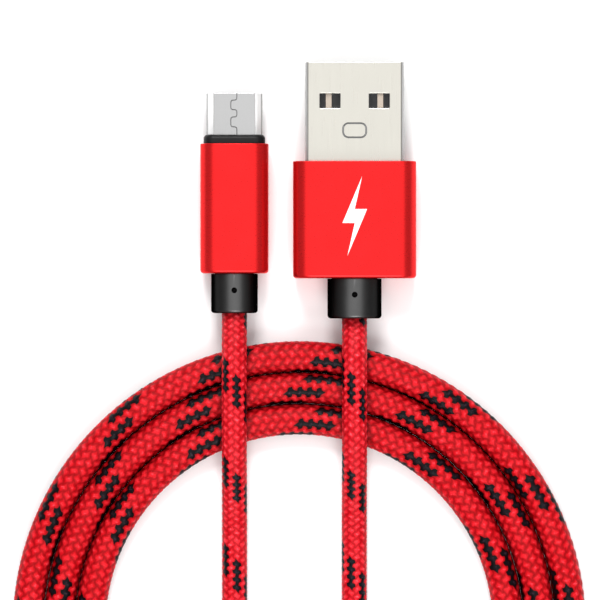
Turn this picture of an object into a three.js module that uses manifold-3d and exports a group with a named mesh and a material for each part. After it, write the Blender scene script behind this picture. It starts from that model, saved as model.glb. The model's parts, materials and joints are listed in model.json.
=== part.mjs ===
// Braided charging cable with a USB-A plug and a micro-B plug, lying flat and coiled.
// Millimetres, +Z up, the table at z = 0. Both plugs point along +Y. The origin is on the
// table under the middle of the two plugs.

import * as THREE from 'three';
import { mergeVertices } from 'three/addons/utils/BufferGeometryUtils.js';
import Module from 'manifold-3d';

const wasm = await Module();
wasm.setup();

// ---- driving dimensions --------------------------------------------------

const GAP = 0.05; // clearance between pieces that touch along flat faces
const CORD_R = 1.55; // the braid is drawn tight over the leads
const COIL_CORD_R = 1.9; // and lies slacker in the coil
const BORE_R = CORD_R + 0.08;

const USB_A = {
  x: 5.65, z: 3.8, tip: 15.6, front: 3.55, rear: -10.7, end: -15.6,
  width: 15, height: 7.6, corner: 2, wallX: 0.8, wallZ: 0.8, wallRear: 0.9,
  collarR: 3.3, neckR: 2.8, flangeR: 2.9,
};
const A_SHELL = { width: 12, height: 4.5, wall: 0.3, back: -3, corner: 0.5 };
const A_WINDOW = { x: 3, y: 10.9, width: 2.5, length: 1.8 };
const A_OVAL = { y: 7.3, width: 3, length: 1.9, line: 0.25, depth: 0.08 };
const A_TONGUE = { width: 11.3, bottom: -1.9, top: -0.1, front: 14.9, back: -3, headFront: 2.5 };
const A_CONTACT = { width: 0.7, top: 0, thickness: 0.25, back: -4.6 };
const A_CONTACTS = [
  { name: 'supply', x: 3.15, front: 14 },
  { name: 'data_minus', x: 1, front: 13 },
  { name: 'data_plus', x: -1, front: 13 },
  { name: 'ground', x: -3.15, front: 14 },
];
const A_ROOM = { width: 9, height: 4.5 };

const MICRO = {
  x: -9, z: 3.4, tip: 11.9, front: 5.7, rear: -10.1, end: -14.95,
  width: 8.3, height: 6.8, corner: 2, wallX: 0.45, wallZ: 0.55, wallRear: 0.9,
  collarR: 2.85, neckR: 2.35, flangeR: 2.6,
};
const M_SHELL = { wide: 6.85, narrow: 5.4, height: 1.8, wall: 0.25, back: -1, knee: -0.05 };
const M_RING = { width: 7.5, height: 5.6, length: 1.1, corner: 1.2, lip: 0.7 };
const M_PITCH = 0.65;
const M_CONTACTS = ['supply', 'data_minus', 'data_plus', 'id', 'ground'];
const M_LATCH = { x: 2.7, width: 0.5, top: -0.4, bottom: -0.6, back: -0.9 };
const M_ROOM = { width: 5.4, height: 4.4 };

const COIL = { x: -1.1, y: -53.45, inner: 25.55, outer: 33.19 };

const FERRULE = { inner: BORE_R, outer: 2.2, length: 0.9 };
const WIRE_R = 0.35;

// Centre line of the lead from the USB-A collar, over the coil, to its inner turn.
const A_FLEX_ROUTE = [
  [5.65, -8.2, 3.8], [5.65, -12, 3.8], [5.65, -15.6, 3.85], [5.65, -17.4, 4.25],
  [5.65, -19.2, 4.95], [5.65, -21, 5.35], [5.65, -22.8, 5.42], [5.65, -25, 5.42],
];
const A_LEAD_ROUTE = [
  [5.65, -27, 5.42], [5.65, -29.5, 5.37], [5.65, -32.5, 4.5], [5.65, -36, 2.95],
  [5.65, -39.5, 1.85], [5.65, -43, 1.6], [5.65, -48, 1.6], [5.65, -53, 1.62],
  [5.65, -58, 1.68], [4.9, -64, 1.76], [2.2, -69.4, 1.83], [-1.8, -73, 1.88],
];

// Centre line of the lead from the micro-B collar, over the coil, down, and up onto the coil again.
const M_FLEX_ROUTE = [
  [-9, -7.6, 3.4], [-9, -11.5, 3.4], [-9, -15, 3.48], [-9, -17, 3.95], [-9, -19.2, 4.9],
  [-9, -21, 5.33], [-9, -22.8, 5.42], [-9, -25, 5.42],
];
const M_LEAD_ROUTE = [
  [-9, -27, 5.42], [-9, -30, 5.32], [-9, -33, 4.45], [-9, -36.5, 2.85], [-9, -40, 1.8],
  [-9, -43.5, 1.6], [-9, -48, 1.62], [-9, -52.5, 1.85], [-9, -57.5, 2.9], [-8, -64.5, 4.9],
  [-5.2, -70.2, 5.62], [-0.6, -74.8, 5.65], [5.4, -77.8, 5.65], [11.5, -78.6, 5.65],
  [16.4, -77.8, 5.65],
];

// ---- materials -----------------------------------------------------------

const matte = (color, roughness = 0.6) =>
  new THREE.MeshStandardMaterial({ color, roughness, metalness: 0 });
const metal = (color, roughness = 0.3) =>
  new THREE.MeshStandardMaterial({ color, roughness, metalness: 1 });

const RED_ALUMINIUM = metal(0xd81022, 0.35);
const STEEL = metal(0xcfcdc8, 0.25);
const GOLD = metal(0xc9a24e, 0.3);
const BLACK_RUBBER = matte(0x161618, 0.55);
const BLACK_PLASTIC = matte(0x1b1b1e, 0.45);
const GREY_PLASTIC = matte(0x5a5a5c, 0.5);
const WHITE_INK = matte(0xf4f2ee, 0.5);
const RED_BRAID = matte(0xd4152a, 0.8);
const WIRE_COLOURS = { red: 0xc02020, white: 0xe8e8e4, green: 0x1f8a3c, black: 0x202022 };

// ---- solids --------------------------------------------------------------

/** Manifold solid of a closed three.js geometry. */
function solid(geometry) {
  geometry.deleteAttribute('normal');
  geometry.deleteAttribute('uv');
  const merged = mergeVertices(geometry, 1e-4);
  return new wasm.Manifold(new wasm.Mesh({
    numProp: 3,
    vertProperties: new Float32Array(merged.attributes.position.array),
    triVerts: new Uint32Array(merged.index.array),
  }));
}

/** three.js geometry of a Manifold solid. */
function geometryOf(body) {
  const mesh = body.getMesh();
  const geometry = new THREE.BufferGeometry();
  geometry.setAttribute('position', new THREE.BufferAttribute(mesh.vertProperties, 3));
  geometry.setIndex(new THREE.BufferAttribute(mesh.triVerts, 1));
  geometry.computeVertexNormals();
  return geometry;
}

const cut = (body, ...tools) => tools.reduce((rest, tool) => rest.subtract(tool), body);

/** Box between two corners. */
function box(low, high) {
  const size = high.map((value, i) => value - low[i]);
  const geometry = new THREE.BoxGeometry(...size);
  geometry.translate(...low.map((value, i) => value + size[i] / 2));
  return solid(geometry);
}

/** Outline in x and z, carried along Y from back to front. */
function prism(shape, back, front, curveSegments = 5) {
  const geometry = new THREE.ExtrudeGeometry(shape, {
    depth: front - back, bevelEnabled: false, curveSegments,
  });
  geometry.rotateX(Math.PI / 2);
  geometry.translate(0, front, 0);
  return solid(geometry);
}

/** Outline in x and y, carried up along Z. */
function plate(shape, bottom, top, curveSegments = 5) {
  const geometry = new THREE.ExtrudeGeometry(shape, {
    depth: top - bottom, bevelEnabled: false, curveSegments,
  });
  geometry.translate(0, 0, bottom);
  return solid(geometry);
}

/** Outline in y and z, carried along X and centred on x. */
function profile(points, x, width) {
  const shape = new THREE.Shape(points.map(([y, z]) => new THREE.Vector2(y, z)));
  const geometry = new THREE.ExtrudeGeometry(shape, { depth: width, bevelEnabled: false });
  geometry.rotateY(Math.PI / 2);
  geometry.rotateX(Math.PI / 2);
  geometry.translate(x - width / 2, 0, 0);
  return solid(geometry);
}

/** Body of revolution about the plug's Y axis, from [radius, y] points. */
function turned(points, segments = 28) {
  const outline = points.map(([radius, y]) => new THREE.Vector2(radius, y));
  return solid(new THREE.LatheGeometry([...outline, outline[0]], segments));
}

function roundedRect(width, height, radius, x = 0, y = 0) {
  const shape = new THREE.Shape();
  const left = x - width / 2;
  const right = x + width / 2;
  const low = y - height / 2;
  const high = y + height / 2;
  shape.moveTo(left + radius, low);
  shape.lineTo(right - radius, low);
  shape.absarc(right - radius, low + radius, radius, -Math.PI / 2, 0);
  shape.lineTo(right, high - radius);
  shape.absarc(right - radius, high - radius, radius, 0, Math.PI / 2);
  shape.lineTo(left + radius, high);
  shape.absarc(left + radius, high - radius, radius, Math.PI / 2, Math.PI);
  shape.lineTo(left, low + radius);
  shape.absarc(left + radius, low + radius, radius, Math.PI, Math.PI * 1.5);
  return shape;
}

/** Micro-B outline: full width below the knee, drawn in to the narrow top face. */
function microOutline(inset) {
  const half = M_SHELL.wide / 2 - inset;
  const top = M_SHELL.narrow / 2 - inset * 0.6;
  const low = -M_SHELL.height / 2 + inset;
  const high = M_SHELL.height / 2 - inset;
  const round = 0.2;
  return new THREE.Shape([
    [-half + round, low], [half - round, low], [half, low + round], [half, M_SHELL.knee],
    [top + round, high - round * 0.6], [top - round * 0.4, high], [-top + round * 0.4, high],
    [-top - round, high - round * 0.6], [-half, M_SHELL.knee], [-half, low + round],
  ].map(([x, z]) => new THREE.Vector2(x, z)));
}

/** Round tube along a route, with a section of few sides. */
function tube(route, radius, steps, sides = 8) {
  const curve = new THREE.CatmullRomCurve3(
    route.map((point) => new THREE.Vector3(...point)), false, 'centripetal');
  const section = new THREE.Shape();
  for (let i = 0; i < sides; i += 1) {
    const angle = ((i + 0.5) / sides) * Math.PI * 2;
    const point = [radius * Math.cos(angle), radius * Math.sin(angle)];
    if (i === 0) section.moveTo(...point);
    else section.lineTo(...point);
  }
  section.closePath();
  const geometry = new THREE.ExtrudeGeometry(section, {
    steps, extrudePath: curve, bevelEnabled: false,
  });
  return solid(geometry);
}

function ball(centre, radius) {
  const geometry = new THREE.SphereGeometry(radius, 10, 8);
  geometry.translate(...centre);
  return solid(geometry);
}

function mesh(name, body, material) {
  const piece = new THREE.Mesh(geometryOf(body), material);
  piece.name = name;
  return piece;
}

// ---- pieces that both plugs have ------------------------------------------

/** Aluminium sleeve, open in front, with a round hole for the collar's neck behind. */
function housing(plug) {
  const outer = prism(roundedRect(plug.width, plug.height, plug.corner), plug.rear, plug.front, 6);
  const cavity = prism(
    roundedRect(plug.width - 2 * plug.wallX, plug.height - 2 * plug.wallZ, plug.corner - 0.6),
    plug.rear + plug.wallRear, plug.front + 1, 6);
  const hole = turned([
    [0, plug.rear - 1], [plug.neckR + GAP, plug.rear - 1],
    [plug.neckR + GAP, plug.front], [0, plug.front],
  ]);
  return cut(outer, cavity, hole);
}

/** Strain relief: outer collar, neck through the housing, flange inside it, and the cord's bore. */
function strainRelief(plug) {
  const inside = plug.rear + plug.wallRear + GAP;
  const body = turned([
    [BORE_R, plug.end], [plug.collarR - 0.4, plug.end], [plug.collarR - 0.12, plug.end + 0.12],
    [plug.collarR, plug.end + 0.4], [plug.collarR, plug.rear - GAP], [plug.neckR, plug.rear - GAP],
    [plug.neckR, inside], [plug.flangeR, inside], [plug.flangeR, inside + 0.9],
    [BORE_R, inside + 0.9],
  ]);
  const gateY = (plug.end + plug.rear) / 2 - 0.4;
  const gate = box(
    [-0.25, gateY - 0.25, plug.collarR - 0.15], [0.25, gateY + 0.25, plug.collarR + 1]);
  return cut(body, gate);
}

/** Moulded core of a plug: a pocket for the metal shell and a room for the wires. */
function innerMould(plug, pocket, room, pocketBack, front) {
  const back = plug.rear + plug.wallRear + 1.05;
  const outer = prism(
    roundedRect(plug.width - 2 * plug.wallX - 2 * GAP, plug.height - 2 * plug.wallZ - 2 * GAP,
      plug.corner - 0.65), back, front, 6);
  return cut(
    outer,
    prism(pocket, pocketBack, front + 1),
    box([-room.width / 2, back - 1, -room.height / 2], [room.width / 2, pocketBack, room.height / 2]));
}

function ferrule(plug) {
  const back = plug.rear + plug.wallRear + 1.2;
  return turned([
    [FERRULE.inner, back], [FERRULE.outer, back],
    [FERRULE.outer, back + FERRULE.length], [FERRULE.inner, back + FERRULE.length],
  ], 20);
}

/** Four wires from the cord's end to the tails of the contacts. */
function wires(prefix, ends, start) {
  return Object.entries(WIRE_COLOURS).map(([colour, value], i) => {
    const [x, y, z] = ends[i];
    const outer = Math.abs(x) > Math.abs(ends[1][0]) || i === 0 || i === 3;
    const side = Math.sign(x) * 0.42;
    const level = outer ? -0.42 : 0.42;
    const route = [
      [side, start, level], [side, start + 0.5, level],
      [x, y - 0.9, z], [x, y, z],
    ];
    return mesh(`${prefix}_wire_${colour}`, tube(route, WIRE_R, 8, 6), matte(value, 0.5));
  });
}

// ---- USB-A plug ------------------------------------------------------------

function usbAShell() {
  const { width, height, wall, back, corner } = A_SHELL;
  const windows = [-1, 1].map((side) => box(
    [side * A_WINDOW.x - A_WINDOW.width / 2, A_WINDOW.y - A_WINDOW.length / 2, -height],
    [side * A_WINDOW.x + A_WINDOW.width / 2, A_WINDOW.y + A_WINDOW.length / 2, height]));
  const ovalOuter = plate(
    roundedRect(A_OVAL.width, A_OVAL.length, 0.7, 0, A_OVAL.y), height / 2 - A_OVAL.depth, height);
  const ovalInner = plate(
    roundedRect(A_OVAL.width - 2 * A_OVAL.line, A_OVAL.length - 2 * A_OVAL.line, 0.45, 0, A_OVAL.y),
    -height, 2 * height);
  return cut(
    prism(roundedRect(width, height, corner), back, USB_A.tip),
    prism(roundedRect(width - 2 * wall, height - 2 * wall, 0.1), back - 1, USB_A.tip + 1),
    ...windows,
    cut(ovalOuter, ovalInner));
}

function usbATongue() {
  const { width, bottom, top, front, back, headFront } = A_TONGUE;
  const head = box([-width / 2, back, bottom], [width / 2, headFront, -bottom]);
  const tongue = box([-width / 2, headFront - 0.5, bottom], [width / 2, front, top]);
  const grooves = A_CONTACTS.map((contact) => box(
    [contact.x - A_CONTACT.width / 2 - GAP, back - 1, A_CONTACT.top - A_CONTACT.thickness - GAP],
    [contact.x + A_CONTACT.width / 2 + GAP, contact.front + GAP, A_CONTACT.top + GAP]));
  return cut(head.add(tongue), ...grooves);
}

function usbAContact(contact) {
  return box(
    [contact.x - A_CONTACT.width / 2, A_CONTACT.back, A_CONTACT.top - A_CONTACT.thickness],
    [contact.x + A_CONTACT.width / 2, contact.front, A_CONTACT.top]);
}

/** Plain charging bolt printed on the housing. */
function printedMark() {
  const bolt = new THREE.Shape([
    [0.9, 1.7], [-1.5, -4], [0, -4], [-0.9, -8], [1.5, -2.3], [0, -2.3],
  ].map(([x, y]) => new THREE.Vector2(x, y)));
  const level = USB_A.height / 2 + 0.02;
  return plate(bolt, level, level + 0.05);
}

function usbAPlug() {
  const plug = new THREE.Group();
  plug.position.set(USB_A.x, 0, USB_A.z);
  const pocket = roundedRect(A_SHELL.width + 2 * GAP, A_SHELL.height + 2 * GAP, A_SHELL.corner);
  const mould = innerMould(USB_A, pocket, A_ROOM, A_SHELL.back - GAP, USB_A.front - 0.15);
  plug.add(
    mesh('usb_a_shell', usbAShell(), STEEL),
    mesh('usb_a_tongue', usbATongue(), GREY_PLASTIC),
    mesh('usb_a_inner_mould', mould, BLACK_PLASTIC),
    mesh('usb_a_housing', housing(USB_A), RED_ALUMINIUM),
    mesh('usb_a_printed_mark', printedMark(), WHITE_INK),
    mesh('usb_a_strain_relief', strainRelief(USB_A), BLACK_RUBBER),
    mesh('usb_a_ferrule', ferrule(USB_A), STEEL));
  A_CONTACTS.forEach((contact) => {
    plug.add(mesh(`usb_a_contact_${contact.name}`, usbAContact(contact), GOLD));
  });
  const ends = A_CONTACTS.map((contact) => [contact.x, A_SHELL.back - 0.4, WIRE_R + 0.1]);
  plug.add(...wires('usb_a', ends, A_FLEX_ROUTE[0][1] + 0.3));
  return plug;
}

// ---- micro-B plug ----------------------------------------------------------

function microShell() {
  const slots = [-1, 1].map((side) => box(
    [side * M_LATCH.x - 0.35, 9.6, -M_SHELL.height], [side * M_LATCH.x + 0.35, 10.95, -0.6]));
  return cut(
    prism(microOutline(0), M_SHELL.back, MICRO.tip),
    prism(microOutline(M_SHELL.wall), M_SHELL.back - 1, MICRO.tip + 1),
    ...slots);
}

/** Contact positions across the micro-B plug. */
const microContactX = (index) => (index - (M_CONTACTS.length - 1) / 2) * M_PITCH;

function microInsulator() {
  const base = box([-2.35, -2, -0.6], [2.35, 1.2, 0.6]);
  const tongue = box([-2.3, 1, 0.02], [2.3, 10.6, 0.6]);
  const channels = M_CONTACTS.map((name, i) => {
    const x = microContactX(i);
    return box([x - 0.25, -3, -0.25], [x + 0.25, 10.2, 0.35]);
  });
  return cut(base.add(tongue), ...channels);
}

/** Spring contact with a bump near its free end. */
function microContact(index) {
  return profile([
    [-3.2, -0.12], [7.9, -0.12], [8.3, -0.26], [8.7, -0.26], [9.1, -0.12], [9.8, -0.12],
    [9.8, 0.03], [-3.2, 0.03],
  ], microContactX(index), 0.36);
}

/** Spring arm with a hook that comes out through the shell's wide face. */
function microLatch(side) {
  const { top, bottom, back } = M_LATCH;
  return profile([
    [back, bottom], [9.75, bottom], [9.85, -1.2], [10.1, -1.2], [10.75, bottom], [11.1, bottom],
    [11.1, top], [back, top],
  ], side * M_LATCH.x, M_LATCH.width);
}

/** Black ring that closes the housing's front around the shell. */
function frontRing() {
  const lipBack = MICRO.front - M_RING.lip;
  const flange = prism(
    roundedRect(M_RING.width, M_RING.height, M_RING.corner),
    MICRO.front + GAP, MICRO.front + M_RING.length, 6);
  const lip = prism(
    roundedRect(MICRO.width - 2 * MICRO.wallX - 2 * GAP, M_RING.height - 0.1, M_RING.corner),
    lipBack, MICRO.front + GAP, 6);
  return cut(flange.add(lip), prism(microOutline(-GAP), lipBack - 1, MICRO.tip));
}

function microPlug() {
  const plug = new THREE.Group();
  plug.position.set(MICRO.x, 0, MICRO.z);
  const mould = innerMould(
    MICRO, microOutline(-GAP), M_ROOM, M_SHELL.back - GAP, MICRO.front - M_RING.lip - GAP);
  plug.add(
    mesh('micro_b_shell', microShell(), STEEL),
    mesh('micro_b_insulator', microInsulator(), BLACK_PLASTIC),
    mesh('micro_b_front_ring', frontRing(), BLACK_PLASTIC),
    mesh('micro_b_inner_mould', mould, BLACK_PLASTIC),
    mesh('micro_b_housing', housing(MICRO), RED_ALUMINIUM),
    mesh('micro_b_strain_relief', strainRelief(MICRO), BLACK_RUBBER),
    mesh('micro_b_ferrule', ferrule(MICRO), STEEL),
    mesh('micro_b_latch_left', microLatch(-1), STEEL),
    mesh('micro_b_latch_right', microLatch(1), STEEL));
  M_CONTACTS.forEach((name, i) => {
    plug.add(mesh(`micro_b_contact_${name}`, microContact(i), GOLD));
  });
  const ends = [-1.55, -0.7, 0.7, 1.55].map((x) => [x, M_SHELL.back - 1.5, WIRE_R + 0.25]);
  plug.add(...wires('micro_b', ends, M_FLEX_ROUTE[0][1] + 0.3));
  return plug;
}

// ---- cord ------------------------------------------------------------------

/** Outer shape of the coil: one flat layer of turns, rounded like its outermost cords. */
function coilRing() {
  const outline = [];
  const steps = 4;
  [[COIL.outer, -0.5], [COIL.inner, 0.5]].forEach(([radius, start]) => {
    for (let i = 0; i <= steps; i += 1) {
      const angle = Math.PI * (start + i / steps);
      outline.push([radius + COIL_CORD_R * Math.cos(angle), COIL_CORD_R * Math.sin(angle)]);
    }
  });
  const geometry = new THREE.LatheGeometry(
    [...outline, outline[0]].map(([radius, y]) => new THREE.Vector2(radius, y)), 72);
  geometry.rotateX(Math.PI / 2);
  geometry.translate(COIL.x, COIL.y, COIL_CORD_R);
  return solid(geometry);
}

/** Lead stretch that bends when its plug is lifted, with a round end at the pivot. */
function flexLead(route) {
  return tube(route, CORD_R, 10).add(ball(route[route.length - 1], CORD_R));
}

function cord() {
  const group = new THREE.Group();
  group.add(
    mesh('cord_coil', coilRing(), RED_BRAID),
    mesh('usb_a_flex_lead', flexLead(A_FLEX_ROUTE), RED_BRAID),
    mesh('usb_a_lead', tube(A_LEAD_ROUTE, CORD_R, 18), RED_BRAID),
    mesh('micro_b_flex_lead', flexLead(M_FLEX_ROUTE), RED_BRAID),
    mesh('micro_b_lead', tube(M_LEAD_ROUTE, CORD_R, 24), RED_BRAID));
  return group;
}

const group = new THREE.Group();
group.add(usbAPlug(), microPlug(), cord());

export default group;
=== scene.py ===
"""Looks of the braided charging cable: cord, plugs, materials, light and camera. Metres, +Z up."""

import json
from math import cos, pi, radians, sin, sqrt

import bmesh
import bpy
import numpy as np
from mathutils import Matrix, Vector


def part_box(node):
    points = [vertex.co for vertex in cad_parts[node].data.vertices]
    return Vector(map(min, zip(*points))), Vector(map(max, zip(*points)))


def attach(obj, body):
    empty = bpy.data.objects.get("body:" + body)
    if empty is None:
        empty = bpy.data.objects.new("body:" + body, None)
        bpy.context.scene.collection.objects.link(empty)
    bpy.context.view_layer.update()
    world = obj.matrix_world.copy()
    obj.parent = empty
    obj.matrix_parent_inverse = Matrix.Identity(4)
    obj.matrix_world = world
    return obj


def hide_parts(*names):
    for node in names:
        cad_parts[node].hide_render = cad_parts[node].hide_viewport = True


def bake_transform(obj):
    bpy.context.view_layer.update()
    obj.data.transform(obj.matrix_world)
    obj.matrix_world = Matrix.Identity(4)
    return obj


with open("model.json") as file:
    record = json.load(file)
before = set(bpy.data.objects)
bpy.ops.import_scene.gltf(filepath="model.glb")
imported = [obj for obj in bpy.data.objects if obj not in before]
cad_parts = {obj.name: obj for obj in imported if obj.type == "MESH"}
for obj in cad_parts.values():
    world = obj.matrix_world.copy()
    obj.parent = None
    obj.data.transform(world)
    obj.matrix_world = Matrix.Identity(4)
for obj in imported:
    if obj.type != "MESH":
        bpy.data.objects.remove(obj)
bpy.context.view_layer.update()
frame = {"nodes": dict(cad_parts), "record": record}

MM = 0.001


# ---- sizes from the frame ---------------------------------------------------


def extent(node):
    """Size of a CAD node's box."""
    low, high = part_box(node)
    return [b - a for a, b in zip(low, high)]


# ---- camera and light ---------------------------------------------------------

VIEW_WIDTH = 73.2 * MM  # at VIEW_LEVEL
VIEW_LEVEL = 4 * MM
VIEW_CENTRE = (-1.0 * MM, -13.35 * MM)
CAMERA_HEIGHT = 0.75


def make_camera():
    data = bpy.data.cameras.new("camera")
    data.sensor_width = 36
    data.lens = 36 * (CAMERA_HEIGHT - VIEW_LEVEL) / VIEW_WIDTH
    data.clip_start = 0.01
    camera = bpy.data.objects.new("camera", data)
    camera.location = (*VIEW_CENTRE, CAMERA_HEIGHT)
    bpy.context.collection.objects.link(camera)
    bpy.context.scene.camera = camera


def area_light(name, place, target, size, power):
    data = bpy.data.lights.new(name, "AREA")
    data.shape = "SQUARE"
    data.size = size
    data.energy = power
    light = bpy.data.objects.new(name, data)
    light.location = place
    light.rotation_euler = (Vector(target) - Vector(place)).to_track_quat("-Z", "Y").to_euler()
    bpy.context.collection.objects.link(light)


def make_light():
    """A wide soft panel overhead, which the flat metal reflects, and a lamp beyond each end."""
    target = (0, -0.02, 0)
    area_light("panel", (0, -0.02, 1.0), target, 1.3, 6.2)
    area_light("key", (-0.05, 0.52, 0.62), target, 0.3, 4.9)
    area_light("fill", (0.04, -0.60, 0.60), target, 0.4, 4.7)
    world = bpy.data.worlds.new("studio")
    bpy.context.scene.world = world
    world.use_nodes = True
    background = world.node_tree.nodes["Background"]
    background.inputs["Color"].default_value = (1, 1, 1, 1)
    background.inputs["Strength"].default_value = 0.27
    bpy.context.scene.view_settings.view_transform = "Standard"


def make_floor(material):
    """Plain floor just under the braid."""
    half = 1.5
    level = -0.03 * MM
    corners = [(-half, -half, level), (half, -half, level), (half, half, level), (-half, half, level)]
    add_object("floor", corners, [(0, 1, 2, 3)], material)


# ---- materials ----------------------------------------------------------------


class Nodes:
    """A material's node tree with short calls for the nodes used here."""

    def __init__(self, name):
        self.material = bpy.data.materials.new(name)
        self.material.use_nodes = True
        self.tree = self.material.node_tree
        self.shader = self.tree.nodes["Principled BSDF"]

    def add(self, kind, **values):
        node = self.tree.nodes.new(kind)
        for key, value in values.items():
            setattr(node, key, value)
        return node

    def link(self, source, target):
        self.tree.links.new(source, target)

    def set(self, **values):
        for key, value in values.items():
            self.shader.inputs[key.replace("_", " ")].default_value = value

    def place(self, scale=(1, 1, 1)):
        """Object coordinates, stretched."""
        coordinates = self.add("ShaderNodeTexCoord")
        mapping = self.add("ShaderNodeMapping")
        mapping.inputs["Scale"].default_value = scale
        self.link(coordinates.outputs["Object"], mapping.inputs["Vector"])
        return mapping.outputs["Vector"]

    def noise(self, vector, scale, detail=3, roughness=0.5):
        node = self.add("ShaderNodeTexNoise")
        node.inputs["Scale"].default_value = scale
        node.inputs["Detail"].default_value = detail
        node.inputs["Roughness"].default_value = roughness
        self.link(vector, node.inputs["Vector"])
        return node.outputs["Fac"]

    def range(self, value, low, high, start=0.3, stop=0.7):
        """value from start..stop carried to low..high."""
        node = self.add("ShaderNodeMapRange")
        node.inputs["From Min"].default_value = start
        node.inputs["From Max"].default_value = stop
        node.inputs["To Min"].default_value = low
        node.inputs["To Max"].default_value = high
        self.link(value, node.inputs["Value"])
        return node.outputs["Result"]

    def side_shade_mask(self):
        """0 on the middle line of a piece's box and 1 at its left and right sides: the mask for painted
        shade on the sides.
        """
        coordinates = self.add("ShaderNodeTexCoord")
        split = self.add("ShaderNodeSeparateXYZ")
        self.link(coordinates.outputs["Generated"], split.inputs["Vector"])
        off = self.add("ShaderNodeMath", operation="SUBTRACT")
        self.link(split.outputs["X"], off.inputs[0])
        off.inputs[1].default_value = 0.5
        away = self.add("ShaderNodeMath", operation="ABSOLUTE")
        self.link(off.outputs["Value"], away.inputs[0])
        return self.range(away.outputs["Value"], 0, 1, 0.1, 0.46)

    def occlusion_shade_mask(self, distance):
        """Ambient occlusion: 1 where nothing is near, and lower in the crevices between neighbours, the
        mask for painted shade there.
        """
        node = self.add("ShaderNodeAmbientOcclusion", samples=6)
        node.inputs["Distance"].default_value = distance
        return node.outputs["AO"]

    def mix(self, factor, first, second):
        """Colour between two colours, each a colour or a socket."""
        node = self.add("ShaderNodeMix", data_type="RGBA")
        self.link(factor, node.inputs["Factor"])
        for socket, colour in ((node.inputs[6], first), (node.inputs[7], second)):
            if isinstance(colour, tuple):
                socket.default_value = (*colour, 1)
            else:
                self.link(colour, socket)
        return node.outputs[2]

    def multiply(self, first, second):
        node = self.add("ShaderNodeMix", data_type="RGBA", blend_type="MULTIPLY")
        node.inputs["Factor"].default_value = 1
        self.link(first, node.inputs[6])
        self.link(second, node.inputs[7])
        return node.outputs[2]

    def times(self, first, second):
        node = self.add("ShaderNodeMath", operation="MULTIPLY")
        self.link(first, node.inputs[0])
        self.link(second, node.inputs[1])
        return node.outputs["Value"]

    def bump(self, height, distance, strength):
        node = self.add("ShaderNodeBump")
        node.inputs["Strength"].default_value = strength
        node.inputs["Distance"].default_value = distance
        self.link(height, node.inputs["Height"])
        return node.outputs["Normal"]

    def to(self, socket, value):
        self.link(value, self.shader.inputs[socket])


def edge_wear(nodes, radius):
    """0 on flats and 1 along edges, from how far a rounded normal leans from the true one."""
    rounded = nodes.add("ShaderNodeBevel", samples=4)
    rounded.inputs["Radius"].default_value = radius
    true = nodes.add("ShaderNodeNewGeometry")
    lean = nodes.add("ShaderNodeVectorMath", operation="DOT_PRODUCT")
    nodes.link(rounded.outputs["Normal"], lean.inputs[0])
    nodes.link(true.outputs["True Normal"], lean.inputs[1])
    return nodes.range(lean.outputs["Value"], 1, 0, 0.82, 0.97)


def anodised_red():
    nodes = Nodes("anodised_red")
    nodes.set(Metallic=0.7, Specular_Tint=(1, 0.3, 0.3, 1))
    grain = nodes.noise(nodes.place(), 9000, 2)
    cloud = nodes.noise(nodes.place(), 260, 3)
    colour = nodes.mix(cloud, (0.67, 0.014, 0.015), (0.71, 0.018, 0.020))
    worn = nodes.mix(edge_wear(nodes, 0.12 * MM), colour, (0.72, 0.018, 0.020))
    nodes.to("Base Color", worn)
    nodes.to("Roughness", nodes.range(grain, 0.26, 0.36))
    nodes.to("Normal", nodes.bump(grain, 3e-6, 0.35))
    return nodes.material


def plated_steel(name, colour, roughness):
    """Stamped and plated sheet with fine rolling streaks along the plug."""
    nodes = Nodes(name)
    nodes.set(Metallic=1.0)
    lines = nodes.noise(nodes.place((1, 0.03, 1)), 7000, 2)
    cloud = nodes.noise(nodes.place(), 180, 3)
    darker = tuple(0.95 * value for value in colour)
    nodes.to("Base Color", nodes.mix(cloud, darker, colour))
    nodes.to("Roughness", nodes.range(lines, roughness - 0.03, roughness + 0.04))
    nodes.to("Normal", nodes.bump(lines, 1e-6, 0.06))
    return nodes.material


def painted_tone_steel(name, value):
    """Plain dull steel in one tone, used to paint light and shade: a near-white stand-in for the
    reflection on the micro-B flanks, a grey stand-in for the reflection along the folds, and painted shade
    at the bottom of a groove.
    """
    nodes = Nodes(name)
    nodes.set(Metallic=0.3, Roughness=0.55)
    cloud = nodes.noise(nodes.place(), 500, 3)
    nodes.to("Base Color", nodes.mix(cloud, (0.97 * value,) * 3, (value,) * 3))
    return nodes.material


def black_soft(name, value, roughness, grain_scale, depth, gloss=0.5):
    """Moulded black rubber or plastic with a fine grain."""
    nodes = Nodes(name)
    grain = nodes.noise(nodes.place(), grain_scale, 3, 0.6)
    cloud = nodes.noise(nodes.place(), 400, 3)
    nodes.to("Base Color", nodes.mix(
        cloud, (value * 0.8, value * 0.8, value * 0.85), (value * 1.25, value * 1.25, value * 1.3)))
    nodes.to("Roughness", nodes.range(grain, roughness - 0.06, roughness + 0.1))
    nodes.to("Normal", nodes.bump(grain, depth, 0.5))
    nodes.set(Specular_IOR_Level=gloss)
    return nodes.material


def black_satin_painted_side_shade(name, value, roughness, grain_scale, depth):
    """Satin black moulding with painted shade: coloured darker towards its sides than in its middle, as a
    round collar lit from above looks.
    """
    nodes = Nodes(name)
    grain = nodes.noise(nodes.place(), grain_scale, 3, 0.6)
    cloud = nodes.noise(nodes.place(), 400, 3)
    middle = nodes.mix(cloud, (value * 0.9,) * 3, (value * 1.1,) * 3)
    # painted shade: the sides of the piece are coloured darker than its middle
    nodes.to("Base Color", nodes.mix(nodes.side_shade_mask(), middle, (0.12 * value,) * 3))
    nodes.to("Roughness", nodes.range(grain, roughness - 0.05, roughness + 0.06))
    nodes.to("Normal", nodes.bump(grain, depth, 0.5))
    nodes.set(Metallic=1.0, Specular_Tint=(0, 0, 0, 1))
    return nodes.material


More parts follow.
